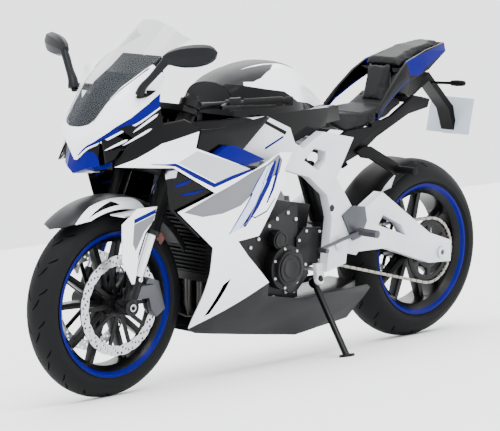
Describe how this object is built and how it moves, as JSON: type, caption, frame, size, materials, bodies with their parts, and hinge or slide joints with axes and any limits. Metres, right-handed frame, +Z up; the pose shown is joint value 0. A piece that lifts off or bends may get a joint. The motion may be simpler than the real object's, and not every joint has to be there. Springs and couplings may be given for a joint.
{
  "type": "motorcycle",
  "caption": "Fully faired sport motorcycle on its side stand, with turning wheels, steering and a folding stand",
  "frame": {"origin": "middle of the bounding box, on the road", "axes": "+X forward, +Y to the rider's left, +Z up; the bike leans to +Y on its side stand"},
  "size_m": [2.03, 0.7894, 1.1766],
  "materials": {
    "frame_silver": "satin silver anodised",
    "black_metal": "satin black paint",
    "engine_cast": "dark cast aluminium",
    "steel": "bright steel",
    "caliper_metal": "silver anodised",
    "white_gloss": "white gloss paint with blue and grey areas",
    "black_plastic": "grained black plastic",
    "lens": "clear lens",
    "red_lens": "red lens",
    "screen": "clear screen",
    "tyre": "black rubber",
    "seat_cover": "dark grey grained cover",
    "plate_face": "blank plate"
  },
  "bodies": {
    "chassis": {"main_frame": "frame_silver", "pivot_axle": "steel", "swingarm": "frame_silver", "rear_axle": "steel", "chain": "steel", "output_sprocket": "steel", "rear_caliper": "caliper_metal", "rear_hugger": "black_plastic", "shock_absorber": "black_metal", "engine_block": "engine_cast", "alternator_cover": "engine_cast", "clutch_cover": "engine_cast", "sprocket_cover": "black_plastic", "radiator": "engine_cast", "exhaust": "steel", "side_fairing_left": "white_gloss", "side_fairing_right": "white_gloss", "belly_pan": "black_plastic", "inner_fairings": "black_plastic", "fairing_brackets": "black_metal", "fairing_stay": "black_metal", "upper_cowl": "white_gloss", "windscreen": "screen", "nose_beak": "black_plastic", "headlamps": "lens", "dash_panel": "black_plastic", "mirrors": "black_plastic", "tank_cover": "white_gloss", "tank_sides": "black_plastic", "rider_seat": "seat_cover", "seat_pad": "seat_cover", "duct_covers": "black_plastic", "duct_scoops": "white_gloss", "pillion_seat": "seat_cover", "tail_cowl": "white_gloss", "tail_lamp": "red_lens", "plate_holder": "black_plastic", "number_plate": "plate_face", "pillion_pegs": "caliper_metal", "rearsets": "caliper_metal", "rear_subframe": "black_metal"},
    "steering": {"fork_legs": "black_metal", "steering_stem": "black_metal", "top_yoke": "black_metal", "handlebars": "black_plastic", "front_axle": "steel", "front_calipers": "caliper_metal", "front_fender": "white_gloss"},
    "front_wheel": {"front_rim": "black_metal", "front_tyre": "tyre", "front_discs": "steel"},
    "rear_wheel": {"rear_rim": "black_metal", "rear_tyre": "tyre", "rear_disc": "steel", "rear_sprocket": "steel"},
    "side_stand": {"side_stand": "black_metal"}
  },
  "joints": [
    {"name": "steering", "type": "hinge", "parent": "chassis", "child": "steering", "pos_m": [0.46086, -0.05751, 0.78416], "axis": [-0.4063, 0.1743, 0.897], "range_deg": [-25, 25]},
    {"name": "front_wheel_spin", "type": "hinge", "parent": "steering", "child": "front_wheel", "pos_m": [0.715, -0.15246, 0.29563], "axis": [0, 0.9816, -0.1908], "continuous": true},
    {"name": "rear_wheel_spin", "type": "hinge", "parent": "chassis", "child": "rear_wheel", "pos_m": [-0.7, -0.14954, 0.31101], "axis": [0, 0.9816, -0.1908], "continuous": true},
    {"name": "side_stand_fold", "type": "hinge", "parent": "chassis", "child": "side_stand", "pos_m": [-0.10202, -0.01571, 0.25517], "axis": [0.0002, 0.9505, 0.3107], "range_deg": [0, 94.9]}
  ]
}
